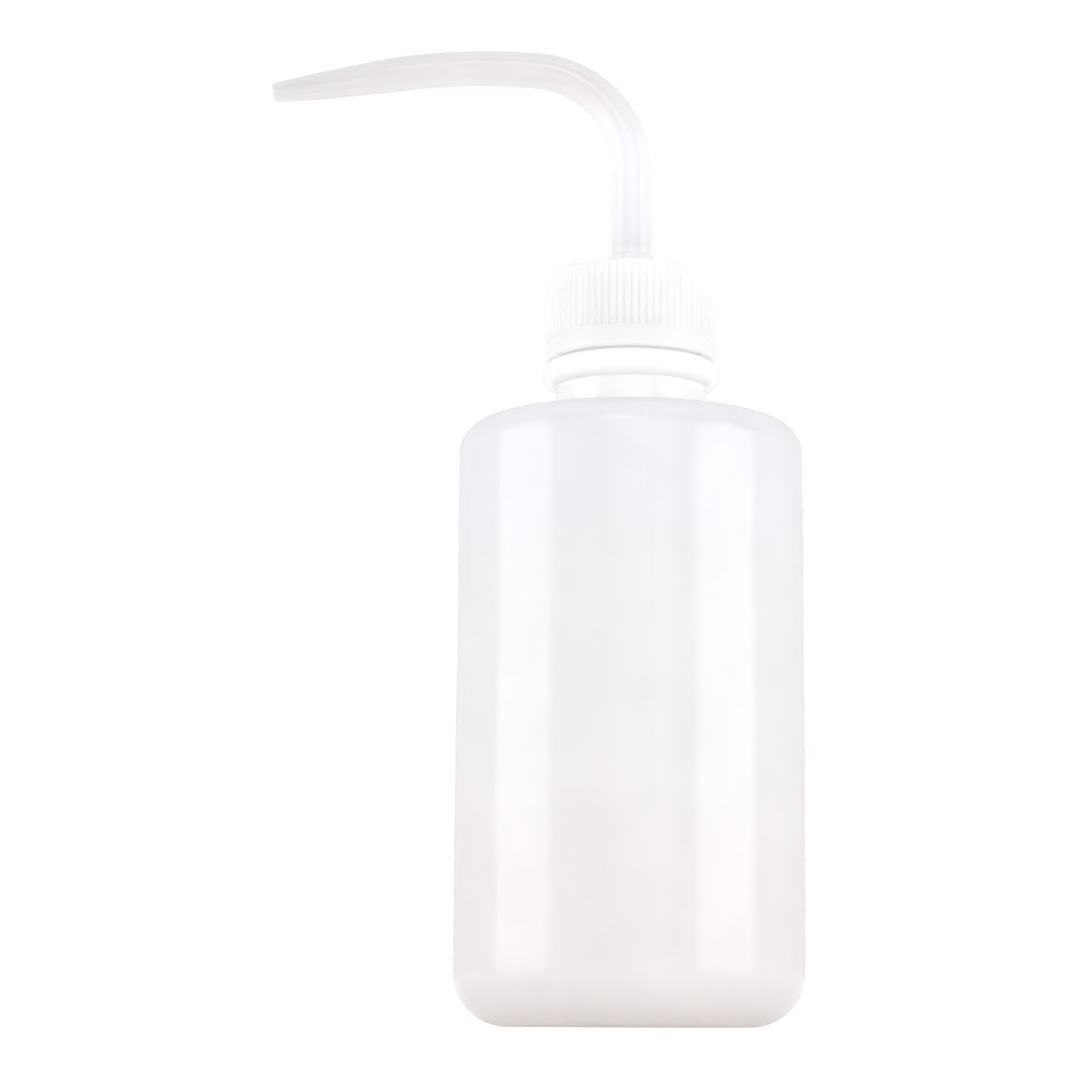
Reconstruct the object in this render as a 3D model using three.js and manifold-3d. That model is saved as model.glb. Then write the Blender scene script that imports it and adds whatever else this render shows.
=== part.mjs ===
// Squeeze wash bottle, 250 mL: a blow-moulded bottle with a raised volume scale, a ribbed screw cap,
// an inner seal plug, a bent spout and a dip tube. Millimetres, +Z up. The origin is the middle of the
// flat underside, on the bottle's axis. The spout points to -X and the volume scale is on +X.
import * as THREE from 'three';
import { mergeVertices } from 'three/addons/utils/BufferGeometryUtils.js';
import Module from 'manifold-3d';

const wasm = await Module();
wasm.setup();

// Bottle
const BODY_R = 30.75;
const WALL = 0.9;
const BASE_WALL = 1.3;
const BASE_CORNER_R = 9.25;
const WALL_TOP_Z = 101.3;
const SHOULDER_R = 5.4;
const SHOULDER_R_UPPER = 7.0;
const SHOULDER_TURN = 72;
const SHOULDER_END = 80;
const NECK_R = 13.5;
const NECK_FILLET = 1.0;
const BORE_R = 11.2;
const BORE_FILLET = 1.5;
const BEAD_R = 2.35;
const BEAD_Z = 115.8;
const BEAD_CENTRE_R = 13.65;
const FINISH_R = 12.5;
const RIM_Z = 129.6;
const RIM_CHAMFER = 0.35;

// Volume scale: one mark for each 25 mL, and a line joining them
const SCALE_MARKS = 10;
const SCALE_FIRST_Z = 11.6;
const SCALE_STEP = 8.87;
const MARK_HEIGHT = 0.6;
const MARK_R = BODY_R + 0.5;
const LINE_R = BODY_R + 0.35;
const SCALE_BURIED_R = BODY_R - 0.4;
const LINE_ANGLE = 1.2;
const SHORT_MARK_ANGLE = 9;
const LONG_MARK_ANGLE = 15;

// Screw thread, right-handed, shared by the neck and the cap
const THREAD_PITCH = 4.0;
const THREAD_TURNS = 1.5;
const NECK_THREAD_Z = 121.7;
const NECK_CREST_R = 13.6;
const CAP_CREST_R = 12.85;
const THREAD_ROOT_HALF = 1.1;
const THREAD_CREST_HALF = 0.45;
const THREAD_BURIED = 0.4;
const THREAD_BELOW = 1.64;
const THREAD_RUN_OUT = 0.07;
const THREAD_SUNK_SHARE = 0.15;

// Cap
const CAP_R = 15.2;
const CAP_BAND_R = 15.45;
const CAP_BOTTOM_Z = 118.4;
const CAP_BAND_TOP_Z = 121.5;
const CAP_TOP_Z = 134.2;
const CAP_CROWN = 0.4;
const CAP_CORNER_R = 1.0;
const CAP_BORE_R = 14.0;
const CAP_CEILING_Z = 132.8;
const CAP_HOLE_R = 4.35;
const CAP_EDGE = 0.3;
const RIBS = 72;
const GROOVE_DEPTH = 0.35;
const GROOVE_HALF_AT_RIM = 0.35;

// Seal plug
const FIT_GAP = 0.3;
const PLUG_FLANGE_R = 12.5;
const PLUG_SKIRT_R = BORE_R - FIT_GAP;
const PLUG_SKIRT_WALL = 1.2;
const PLUG_BOTTOM_Z = 124.0;
const PLUG_SLEEVE_WALL = 1.25;
const PLUG_SLEEVE_Z = 124.5;
const PLUG_FLOOR_Z = 131.2;
const PLUG_LEAD_IN = 0.4;
const PLUG_LEAD_IN_HEIGHT = 1.0;

// Spout and dip tube
const COLLAR_R = 4.03;
const COLLAR_TOP_Z = 138.2;
const SPOUT_BOTTOM_Z = 121.0;
const SPOUT_FLANGE_R = 7.0;
const SPOUT_FLANGE_T = 1.0;
const SOCKET_R = 3.2;
const SOCKET_TOP_Z = 131.8;
const SOCKET_LEAD_IN = 0.3;
const SOCKET_LEAD_IN_HEIGHT = 0.6;
const COLLAR_CHAMFER = 0.35;
const SPOUT_BEND_Z = 154.2;
const SPOUT_BEND_R = 19.0;
const SPOUT_BEND_TURN = 85;
const SPOUT_DROOP_R = 110.0;
const SPOUT_DROOP_TURN = 14;
const SPOUT_NOSE = 21.9;
const NOSE_TIP_SHARE = 0.45;
const NOSE_CHAMFER = 0.35;
// Outer and bore radii, which narrow over the bend and again over the nose
const SPOUT_SECTIONS = {
  foot: { outer: 3.6, bore: 1.95 },
  bendEnd: { outer: 3.22, bore: 1.8 },
  noseStart: { outer: 3.14, bore: 1.6 },
  noseMiddle: { outer: 2.55, bore: 1.25 },
  tip: { outer: 1.75, bore: 0.85 },
};
const TUBE_R = 3.0;
const TUBE_BORE_R = 2.1;
const TUBE_BOTTOM_Z = 4.0;
const TUBE_TOP_Z = 131.4;
const TUBE_BEVEL = 35;

// Facets
const BOTTLE_SIDES = 48;
const CAP_SIDES = RIBS;
const PLUG_SIDES = 36;
const TUBE_SIDES = 16;
const THREAD_STEPS_PER_TURN = 32;
const BASE_CORNER_STEPS = 7;
const FLOOR_CORNER_STEPS = 6;
const SHOULDER_STEPS = 5;
const FILLET_STEPS = 3;
const BEAD_STEPS = 8;
const CAP_CORNER_STEPS = 3;
const MARK_STEPS = 4;
const MERGE_DISTANCE = 1e-4;

const rad = THREE.MathUtils.degToRad;
const point = (r, z) => new THREE.Vector2(r, z);

// Points of an arc in the radius-height plane, from angle a0 to a1 in degrees.
function arc(cr, cz, radius, a0, a1, steps) {
  const points = [];
  for (let i = 0; i <= steps; i++) {
    const a = rad(a0 + ((a1 - a0) * i) / steps);
    points.push(point(cr + radius * Math.cos(a), cz + radius * Math.sin(a)));
  }
  return points;
}

// Moves every vertex of a geometry by a function that edits a vector in place.
function reshape(geometry, edit) {
  const position = geometry.attributes.position;
  const v = new THREE.Vector3();
  for (let i = 0; i < position.count; i++) {
    v.fromBufferAttribute(position, i);
    edit(v);
    position.setXYZ(i, v.x, v.y, v.z);
  }
  return geometry;
}

// A body of revolution about Z. The profile runs up the outside and down the inside.
function turned(points, sides) {
  return new THREE.LatheGeometry(points, sides).rotateX(Math.PI / 2);
}

function ring(points, sides) {
  return turned([...points, points[0].clone()], sides);
}

// A closed triangle mesh with shared vertices and no collapsed triangles, as a solid for cutting.
function solid(geometry) {
  const bare = geometry.clone();
  bare.deleteAttribute('normal');
  bare.deleteAttribute('uv');
  const merged = mergeVertices(bare, MERGE_DISTANCE);
  const index = merged.index.array;
  const triangles = [];
  for (let i = 0; i < index.length; i += 3) {
    const [a, b, c] = [index[i], index[i + 1], index[i + 2]];
    if (a !== b && b !== c && c !== a) triangles.push(a, b, c);
  }
  const mesh = new wasm.Mesh({
    numProp: 3,
    vertProperties: new Float32Array(merged.attributes.position.array),
    triVerts: new Uint32Array(triangles),
  });
  return new wasm.Manifold(mesh);
}

function geometryOf(body) {
  const mesh = body.getMesh();
  const geometry = new THREE.BufferGeometry();
  geometry.setAttribute('position', new THREE.BufferAttribute(new Float32Array(mesh.vertProperties), 3));
  geometry.setIndex(new THREE.BufferAttribute(new Uint32Array(mesh.triVerts), 1));
  geometry.computeVertexNormals();
  return geometry;
}

// A helical ridge from a buried radius to a crest radius, sinking into the wall at both ends.
function threadRidge(buriedR, crestR, startZ) {
  const section = new THREE.Shape([
    point(buriedR, -THREAD_ROOT_HALF),
    point(crestR, -THREAD_CREST_HALF),
    point(crestR, THREAD_CREST_HALF),
    point(buriedR, THREAD_ROOT_HALF),
  ]);
  const steps = Math.round(THREAD_TURNS * THREAD_STEPS_PER_TURN);
  const ridge = new THREE.ExtrudeGeometry(section, { depth: 1, steps, bevelEnabled: false });
  const sunkR = THREE.MathUtils.lerp(buriedR, crestR, THREAD_SUNK_SHARE);
  return reshape(ridge, (v) => {
    const share = v.z;
    const risen = Math.min(1, share / THREAD_RUN_OUT, (1 - share) / THREAD_RUN_OUT);
    const r = v.x === buriedR ? buriedR : THREE.MathUtils.lerp(sunkR, v.x, Math.max(0, risen));
    const angle = share * THREAD_TURNS * 2 * Math.PI;
    const z = startZ + share * THREAD_TURNS * THREAD_PITCH - v.y;
    v.set(r * Math.cos(angle), r * Math.sin(angle), z);
  });
}

// A block of the scale: part of a ring around the bottle's wall.
function wallBlock(outerR, fromAngle, toAngle, fromZ, toZ) {
  const block = new THREE.Shape();
  block.absarc(0, 0, outerR, rad(fromAngle), rad(toAngle), false);
  block.absarc(0, 0, SCALE_BURIED_R, rad(toAngle), rad(fromAngle), true);
  const options = { depth: toZ - fromZ, bevelEnabled: false, curveSegments: MARK_STEPS };
  return new THREE.ExtrudeGeometry(block, options).translate(0, 0, fromZ);
}

function bottle() {
  const cornerR = BODY_R - BASE_CORNER_R;
  const floorCornerR = BASE_CORNER_R - WALL;
  const shoulderCentreR = BODY_R - SHOULDER_R;
  const turn = rad(SHOULDER_TURN);
  const upperCentreR = shoulderCentreR + (SHOULDER_R - SHOULDER_R_UPPER) * Math.cos(turn);
  const upperCentreZ = WALL_TOP_Z + (SHOULDER_R - SHOULDER_R_UPPER) * Math.sin(turn);
  const slope = rad(90 - SHOULDER_END);
  const shoulder = (offset) => [
    ...arc(shoulderCentreR, WALL_TOP_Z, SHOULDER_R - offset, 0, SHOULDER_TURN, SHOULDER_STEPS),
    ...arc(upperCentreR, upperCentreZ, SHOULDER_R_UPPER - offset, SHOULDER_TURN, SHOULDER_END, 1).slice(1),
  ];
  // The height at which a shoulder's cone reaches a given radius.
  const coneZ = (curve, r) => curve.at(-1).y + (curve.at(-1).x - r) * Math.tan(slope);
  const fillet = (curve, r, radius) => {
    const centreR = r + radius;
    const tangentR = centreR - radius * Math.sin(slope);
    const centreZ = coneZ(curve, tangentR) + radius * Math.cos(slope);
    return arc(centreR, centreZ, radius, 180 + SHOULDER_END, 180, FILLET_STEPS);
  };
  const outer = shoulder(0);
  const inner = shoulder(WALL);
  const profile = [
    point(0, 0),
    ...arc(cornerR, BASE_CORNER_R, BASE_CORNER_R, -90, 0, BASE_CORNER_STEPS),
    ...outer,
    ...fillet(outer, NECK_R, NECK_FILLET),
    point(NECK_R, BEAD_Z - BEAD_R),
    ...arc(BEAD_CENTRE_R, BEAD_Z, BEAD_R, -90, 90, BEAD_STEPS),
    point(FINISH_R, BEAD_Z + BEAD_R),
    point(FINISH_R, RIM_Z - RIM_CHAMFER),
    point(FINISH_R - RIM_CHAMFER, RIM_Z),
    point(BORE_R + RIM_CHAMFER, RIM_Z),
    point(BORE_R, RIM_Z - RIM_CHAMFER),
    ...fillet(inner, BORE_R, BORE_FILLET).reverse(),
    ...inner.reverse(),
    ...arc(cornerR, BASE_WALL + floorCornerR, floorCornerR, 0, -90, FLOOR_CORNER_STEPS),
    point(0, BASE_WALL),
  ];
  let body = solid(turned(profile, BOTTLE_SIDES));
  body = body.add(solid(threadRidge(FINISH_R - THREAD_BURIED, NECK_CREST_R, NECK_THREAD_Z)));
  const lastZ = SCALE_FIRST_Z + (SCALE_MARKS - 1) * SCALE_STEP;
  const half = MARK_HEIGHT / 2;
  body = body.add(solid(wallBlock(LINE_R, -LINE_ANGLE / 2, LINE_ANGLE / 2, SCALE_FIRST_Z, lastZ)));
  for (let i = 0; i < SCALE_MARKS; i++) {
    const z = SCALE_FIRST_Z + i * SCALE_STEP;
    const reach = i % 2 === 1 ? LONG_MARK_ANGLE : SHORT_MARK_ANGLE;
    body = body.add(solid(wallBlock(MARK_R, -LINE_ANGLE, reach, z - half, z + half)));
  }
  return geometryOf(body);
}

function screwCap() {
  const cornerR = CAP_R - CAP_CORNER_R;
  const shell = ring(
    [
      point(CAP_BORE_R + CAP_EDGE, CAP_BOTTOM_Z),
      point(CAP_BAND_R - CAP_EDGE, CAP_BOTTOM_Z),
      point(CAP_BAND_R, CAP_BOTTOM_Z + CAP_EDGE),
      point(CAP_BAND_R, CAP_BAND_TOP_Z),
      point(CAP_R, CAP_BAND_TOP_Z + CAP_EDGE),
      ...arc(cornerR, CAP_TOP_Z - CAP_CORNER_R, CAP_CORNER_R, 0, 90, CAP_CORNER_STEPS),
      point(CAP_HOLE_R, CAP_TOP_Z + CAP_CROWN),
      point(CAP_HOLE_R, CAP_CEILING_Z),
      point(CAP_BORE_R, CAP_CEILING_Z),
      point(CAP_BORE_R, CAP_BOTTOM_Z + CAP_EDGE),
    ],
    CAP_SIDES,
  );
  // Grip ribs: the strips left between V-grooves
  const apexR = CAP_R - GROOVE_DEPTH;
  const mouthR = CAP_R + GROOVE_DEPTH;
  const mouthHalf = 2 * GROOVE_HALF_AT_RIM;
  const grooves = [];
  for (let i = 0; i < RIBS; i++) {
    const angle = (i * 2 * Math.PI) / RIBS;
    const along = new THREE.Vector2(Math.cos(angle), Math.sin(angle));
    const across = new THREE.Vector2(-along.y, along.x);
    const corner = (r, side) => along.clone().multiplyScalar(r).addScaledVector(across, side);
    grooves.push(new THREE.Shape([corner(apexR, 0), corner(mouthR, -mouthHalf), corner(mouthR, mouthHalf)]));
  }
  const grooveStart = CAP_BAND_TOP_Z + 2 * CAP_EDGE;
  const depth = CAP_TOP_Z + CAP_CROWN - grooveStart;
  const cutter = new THREE.ExtrudeGeometry(grooves, { depth, bevelEnabled: false });
  const ridge = threadRidge(CAP_BORE_R + THREAD_BURIED, CAP_CREST_R, NECK_THREAD_Z - THREAD_BELOW);
  const ribbed = solid(shell).subtract(solid(cutter.translate(0, 0, grooveStart)));
  return geometryOf(ribbed.add(solid(ridge)));
}

function sealPlug() {
  const skirtBoreR = PLUG_SKIRT_R - PLUG_SKIRT_WALL;
  const flangeZ = RIM_Z + FIT_GAP;
  const topZ = CAP_CEILING_Z - FIT_GAP;
  const recessR = SPOUT_FLANGE_R + FIT_GAP;
  const sleeveBoreR = COLLAR_R + FIT_GAP;
  const sleeveR = sleeveBoreR + PLUG_SLEEVE_WALL;
  return ring(
    [
      point(skirtBoreR, PLUG_BOTTOM_Z),
      point(PLUG_SKIRT_R - PLUG_LEAD_IN, PLUG_BOTTOM_Z),
      point(PLUG_SKIRT_R, PLUG_BOTTOM_Z + PLUG_LEAD_IN_HEIGHT),
      point(PLUG_SKIRT_R, flangeZ),
      point(PLUG_FLANGE_R, flangeZ),
      point(PLUG_FLANGE_R, topZ),
      point(recessR, topZ),
      point(recessR, PLUG_FLOOR_Z),
      point(sleeveBoreR, PLUG_FLOOR_Z),
      point(sleeveBoreR, PLUG_SLEEVE_Z),
      point(sleeveR, PLUG_SLEEVE_Z),
      point(sleeveR, flangeZ),
      point(skirtBoreR, flangeZ),
    ],
    PLUG_SIDES,
  );
}

// The spout's centre line in the XZ plane, from its lower end: up, round the bend, over a long droop
// and straight out to the nose.
const SPOUT_RUN = [
  { length: SPOUT_BEND_Z - SPOUT_BOTTOM_Z, turn: 0, steps: 1 },
  { length: rad(SPOUT_BEND_TURN) * SPOUT_BEND_R, turn: SPOUT_BEND_TURN, steps: 10 },
  { length: rad(SPOUT_DROOP_TURN) * SPOUT_DROOP_R, turn: SPOUT_DROOP_TURN, steps: 4 },
  { length: SPOUT_NOSE, turn: 0, steps: 4 },
];
const SPOUT_LENGTH = SPOUT_RUN.reduce((sum, run) => sum + run.length, 0);

// Where the centre line is after a length s, and its lean from the vertical towards -X.
function spoutLine(s) {
  let x = 0;
  let z = SPOUT_BOTTOM_Z;
  let lean = 0;
  let left = s;
  for (const run of SPOUT_RUN) {
    const stretch = Math.min(left, run.length);
    const bent = rad(run.turn) * (stretch / run.length);
    if (run.turn === 0) {
      x -= stretch * Math.sin(lean);
      z += stretch * Math.cos(lean);
    } else {
      const radius = run.length / rad(run.turn);
      x -= radius * (Math.cos(lean) - Math.cos(lean + bent));
      z += radius * (Math.sin(lean + bent) - Math.sin(lean));
      lean += bent;
    }
    left -= stretch;
    if (left <= 0) break;
  }
  return { x, z, lean };
}

// The spout's radii by the length along its centre line.
const bendStart = SPOUT_RUN[0].length;
const bendEnd = bendStart + SPOUT_RUN[1].length;
const noseStart = SPOUT_LENGTH - SPOUT_NOSE;
const SPOUT_TAPER = [
  { s: 0, ...SPOUT_SECTIONS.foot },
  { s: bendStart, ...SPOUT_SECTIONS.foot },
  { s: bendEnd, ...SPOUT_SECTIONS.bendEnd },
  { s: noseStart, ...SPOUT_SECTIONS.noseStart },
  { s: SPOUT_LENGTH - NOSE_TIP_SHARE * SPOUT_NOSE, ...SPOUT_SECTIONS.noseMiddle },
  { s: SPOUT_LENGTH, ...SPOUT_SECTIONS.tip },
];

function spoutRadius(s, key) {
  const next = SPOUT_TAPER.findIndex((row, i) => i > 0 && s <= row.s + 1e-6);
  const a = SPOUT_TAPER[next - 1];
  const b = SPOUT_TAPER[next];
  return THREE.MathUtils.lerp(a[key], b[key], (s - a.s) / (b.s - a.s));
}

function spout() {
  const at = (z) => z - SPOUT_BOTTOM_Z;
  const flangeTop = at(CAP_CEILING_Z - FIT_GAP);
  const stations = [];
  let start = 0;
  for (const run of SPOUT_RUN) {
    for (let i = 1; i <= run.steps; i++) stations.push(start + (run.length * i) / run.steps);
    start += run.length;
  }
  const above = stations.filter((s) => s < SPOUT_LENGTH - NOSE_CHAMFER);
  const collarTop = at(COLLAR_TOP_Z);
  const profile = [
    point(SOCKET_R + SOCKET_LEAD_IN, 0),
    point(COLLAR_R - SOCKET_LEAD_IN, 0),
    point(COLLAR_R, SOCKET_LEAD_IN_HEIGHT),
    point(COLLAR_R, flangeTop - SPOUT_FLANGE_T),
    point(SPOUT_FLANGE_R, flangeTop - SPOUT_FLANGE_T),
    point(SPOUT_FLANGE_R, flangeTop),
    point(COLLAR_R, flangeTop),
    point(COLLAR_R, collarTop - COLLAR_CHAMFER),
    point(spoutRadius(collarTop, 'outer'), collarTop),
    ...above.map((s) => point(spoutRadius(s, 'outer'), s)),
    point(spoutRadius(SPOUT_LENGTH - NOSE_CHAMFER, 'outer'), SPOUT_LENGTH - NOSE_CHAMFER),
    point(spoutRadius(SPOUT_LENGTH, 'outer') - NOSE_CHAMFER, SPOUT_LENGTH),
    point(spoutRadius(SPOUT_LENGTH, 'bore'), SPOUT_LENGTH),
    ...above.map((s) => point(spoutRadius(s, 'bore'), s)).reverse(),
    point(spoutRadius(at(SOCKET_TOP_Z), 'bore'), at(SOCKET_TOP_Z)),
    point(SOCKET_R, at(SOCKET_TOP_Z)),
    point(SOCKET_R, SOCKET_LEAD_IN_HEIGHT),
  ];
  return reshape(ring(profile, TUBE_SIDES), (v) => {
    const line = spoutLine(v.z);
    const across = v.x;
    v.x = line.x + across * Math.cos(line.lean);
    v.z = line.z + across * Math.sin(line.lean);
  });
}

function dipTube() {
  const tube = ring(
    [
      point(TUBE_BORE_R, TUBE_BOTTOM_Z),
      point(TUBE_R, TUBE_BOTTOM_Z),
      point(TUBE_R, TUBE_TOP_Z),
      point(TUBE_BORE_R, TUBE_TOP_Z),
    ],
    TUBE_SIDES,
  );
  // The lower end is cut on a slant, so that it can't seal against the bottle's floor.
  const block = 6 * TUBE_R;
  const cutter = new THREE.BoxGeometry(block, block, block);
  cutter.translate(0, 0, -block / 2).rotateY(rad(TUBE_BEVEL));
  cutter.translate(0, 0, TUBE_BOTTOM_Z + TUBE_R * Math.tan(rad(TUBE_BEVEL)));
  return geometryOf(solid(tube).subtract(solid(cutter)));
}

function plastic(color, roughness, opacity) {
  return new THREE.MeshStandardMaterial({ color, roughness, metalness: 0, transparent: true, opacity });
}

function part(name, geometry, material) {
  const mesh = new THREE.Mesh(geometry, material);
  mesh.name = name;
  return mesh;
}

const washBottle = new THREE.Group();
washBottle.name = 'wash_bottle';
washBottle.add(
  part('bottle', bottle(), plastic(0xf3f1f0, 0.45, 0.6)),
  part('screw_cap', screwCap(), plastic(0xfaf8f8, 0.4, 0.85)),
  part('seal_plug', sealPlug(), plastic(0xf4f2f1, 0.4, 0.85)),
  part('spout', spout(), plastic(0xefecec, 0.35, 0.7)),
  part('dip_tube', dipTube(), plastic(0xf2f0f0, 0.35, 0.7)),
);

export default washBottle;
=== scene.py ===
"""Wash bottle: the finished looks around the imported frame, for Blender 4.5. Sizes are in millimetres, and MM
turns them into the frame's metres. +Z is up, the spout points to -X and the volume scale is on +X."""
import math

import bpy
import numpy as np
from mathutils import Matrix, Vector


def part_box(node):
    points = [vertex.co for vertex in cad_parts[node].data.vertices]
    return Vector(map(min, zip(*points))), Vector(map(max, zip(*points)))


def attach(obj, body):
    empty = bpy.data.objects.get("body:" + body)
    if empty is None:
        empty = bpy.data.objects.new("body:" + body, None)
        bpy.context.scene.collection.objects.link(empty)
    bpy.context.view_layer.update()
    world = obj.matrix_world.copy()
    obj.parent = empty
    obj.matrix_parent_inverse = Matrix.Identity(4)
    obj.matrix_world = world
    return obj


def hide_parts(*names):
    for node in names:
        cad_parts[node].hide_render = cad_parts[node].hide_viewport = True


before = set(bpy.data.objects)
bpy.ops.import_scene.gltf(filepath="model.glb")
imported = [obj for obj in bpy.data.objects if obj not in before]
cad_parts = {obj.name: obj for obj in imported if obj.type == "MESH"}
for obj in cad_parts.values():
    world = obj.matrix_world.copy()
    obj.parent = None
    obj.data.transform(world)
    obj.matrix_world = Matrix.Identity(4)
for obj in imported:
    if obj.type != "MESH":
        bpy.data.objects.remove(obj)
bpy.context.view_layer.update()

MM = 0.001
FULL_TURN = 2 * math.pi
SHARP_ANGLE = math.radians(38)
SAME = 1e-6


# ---------------------------------------------------------------- sizes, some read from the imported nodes

def box_mm(node):
    low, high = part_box(node)
    return np.array(low) / MM, np.array(high) / MM


bottle_high = box_mm("bottle")[1]
cap_low, cap_high = box_mm("screw_cap")
plug_low, plug_high = box_mm("seal_plug")
spout_low, spout_high = box_mm("spout")
tube_low, tube_high = box_mm("dip_tube")

# Bottle
BODY_R = bottle_high[1]
WALL = 0.9
BASE_WALL = 1.3
BASE_CORNER_R = 9.25
BASE_RECESS = 0.6
BASE_RECESS_R = 19.5
BASE_RECESS_EDGE = 5.0
BASE_SCAR_DEPTH = 0.3
BASE_SCAR_HALF = 0.5
BASE_SCAR_REACH = 16.0
BASE_SCAR_FADE = 1.5
WALL_TOP_Z = 101.3
SHOULDER_R = 5.4
SHOULDER_R_UPPER = 7.0
SHOULDER_TURN = 72
SHOULDER_END = 80
NECK_R = 13.5
NECK_FILLET = 1.0
BORE_R = 11.2
BORE_FILLET = 1.5
BEAD_R = 2.35
BEAD_Z = 115.8
BEAD_CENTRE_R = 13.65
BEAD_FILLET = 0.25
FINISH_R = 12.5
FINISH_FILLET = 0.3
RIM_Z = bottle_high[2]
RIM_ROUND = 0.4

# The blown wall's unevenness: height of each wave, waves round the wall, turn for each mm of height, start
WALL_WAVES = [(0.045, 2, 0.045, 0.0), (0.03, 3, -0.09, 1.0), (0.02, 5, 0.16, 2.0)]
WALL_WAVE_LOW = 12
WALL_WAVE_HIGH = 99
WALL_WAVE_FADE = 25
PARTING_ANGLE = math.radians(-84.4)
PARTING_HALF = 0.28
PARTING_PROUD = 0.07
PARTING_FOOT = 1.6
PARTING_LOW_Z = 1.5

# Raised volume scale
SCALE_MARKS = 10
SCALE_FIRST_Z = 11.6
SCALE_STEP = 8.87
SCALE_VOLUME = 50
MARK_HALF = 0.3
MARK_EDGE = 0.12
MARK_ROW_GAP = 0.2
MARK_PROUD = 0.5
LINE_PROUD = 0.35
LINE_ANGLE = math.radians(0.6)
LINE_EDGE = math.radians(0.22)
SHORT_MARK_ANGLE = math.radians(9)
LONG_MARK_ANGLE = math.radians(15)
LABEL_ANGLE = math.radians(17)
LABEL_SIZE = 4.8
LABEL_THICK = 0.35
LABEL_BEVEL = 0.06
LABEL_THINNING = -0.01

# Thread on the neck and in the cap
THREAD_PITCH = 4.0
THREAD_TURNS = 1.5
NECK_THREAD_Z = 121.7
NECK_CREST_R = 13.6
CAP_CREST_R = 12.85
THREAD_ROOT_HALF = 1.1
THREAD_CREST_HALF = 0.45
THREAD_BELOW = 1.64
THREAD_RUN_OUT = 0.07

# Screw cap
CAP_BAND_R = cap_high[0]
CAP_R = CAP_BAND_R - 0.25
CAP_BOTTOM_Z = cap_low[2]
CAP_BAND_TOP_Z = CAP_BOTTOM_Z + 3.1
CAP_BAND_ROUND = 0.55
CAP_BAND_CORNER = 0.2
CAP_CROWN = 0.4
CAP_TOP_Z = cap_high[2] - CAP_CROWN
CAP_CORNER_R = 1.0
CAP_BORE_R = 14.0
CAP_CEILING_Z = CAP_TOP_Z - 1.4
CAP_HOLE_R = 4.35
RIBS = 72
GROOVE_DEPTH = 0.35
GROOVE_FROM = 0.05
GROOVE_TO = 0.8
GROOVE_FOOT = 0.35
GROOVE_RUN_IN = 0.7
GROOVE_REACH = 1.0
GROOVE_TOP_FADE = 0.8

# Seal plug
FIT_GAP = 0.3
PLUG_SKIRT_WALL = 1.2
PLUG_SLEEVE_WALL = 1.25
PLUG_EDGE = 0.15

# Spout
COLLAR_R = 4.03
COLLAR_TOP_Z = 138.2
SPOUT_FLANGE_R = spout_high[0]
SPOUT_FLANGE_T = 1.0
SOCKET_R = 3.2
SOCKET_TOP_Z = 131.8
SPOUT_BOTTOM_Z = spout_low[2]
SPOUT_BEND_Z = 154.2
SPOUT_BEND_R = 19.0
SPOUT_BEND_TURN = 85
SPOUT_DROOP_R = 110.0
SPOUT_DROOP_TURN = 14
SPOUT_NOSE = 21.9
SPOUT_EDGE = 0.15
NOSE_ROUND = 0.35
NOSE_BORE_ROUND = 0.15

# Dip tube
TUBE_BORE_R = 2.1
TUBE_FOOT_SLANT = 35
TUBE_FOOT_HEIGHT = 6.0
TUBE_EDGE = 0.1

# Longest step between the rows of each mesh
BASE_STEP = 0.7
BODY_STEP = 0.75
CONE_STEP = 1.5
FINISH_STEP = 0.14
INSIDE_STEP = 2.0
FLOOR_STEP = 3.0
CAP_WALL_STEP = 0.4
CAP_CEILING_STEP = 1.2
CAP_THREAD_STEP = 0.18
SPOUT_STEP = 0.8
TUBE_STEP = 4.0

# Points around each mesh
BOTTLE_ROUND = 176
CAP_ROUND = RIBS * 8
PLUG_ROUND = 128
SPOUT_ROUND = 48
TUBE_ROUND = 40


# ---------------------------------------------------------------- mesh building

def arc(centre_r, centre_z, radius, start, end, steps):
    """Points on a round stretch of an outline, from one angle in degrees to another."""
    angles = np.radians(np.linspace(start, end, steps + 1))
    return [(centre_r + radius * math.cos(a), centre_z + radius * math.sin(a)) for a in angles]


def refined(points, step):
    """The same outline with every straight stretch cut into pieces no longer than step."""
    result = [points[0]]
    for (r0, z0), (r1, z1) in zip(points, points[1:]):
        count = max(1, math.ceil(math.hypot(r1 - r0, z1 - z0) / step))
        result += [(r0 + (r1 - r0) * i / count, z0 + (z1 - z0) * i / count) for i in range(1, count + 1)]
    return result


def mesh_object(name, vertices, faces):
    mesh = bpy.data.meshes.new(name)
    mesh.from_pydata(vertices, [], faces)
    mesh.validate()
    mesh.polygons.foreach_set("use_smooth", [True] * len(mesh.polygons))
    mesh.set_sharp_from_angle(angle=SHARP_ANGLE)
    mesh.update()
    piece = bpy.data.objects.new(name, mesh)
    bpy.context.scene.collection.objects.link(piece)
    return piece


def row_faces(low, high, count):
    """Faces between two rows of a turned surface. A row is (first vertex, whether it is a single point)."""
    (a, a_point), (b, b_point) = low, high
    faces = []
    for j in range(count):
        k = (j + 1) % count
        if a_point and b_point:
            continue
        if a_point:
            faces.append((a, b + k, b + j))
        elif b_point:
            faces.append((a + j, a + k, b))
        else:
            faces.append((a + j, a + k, b + k, b + j))
    return faces


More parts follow.
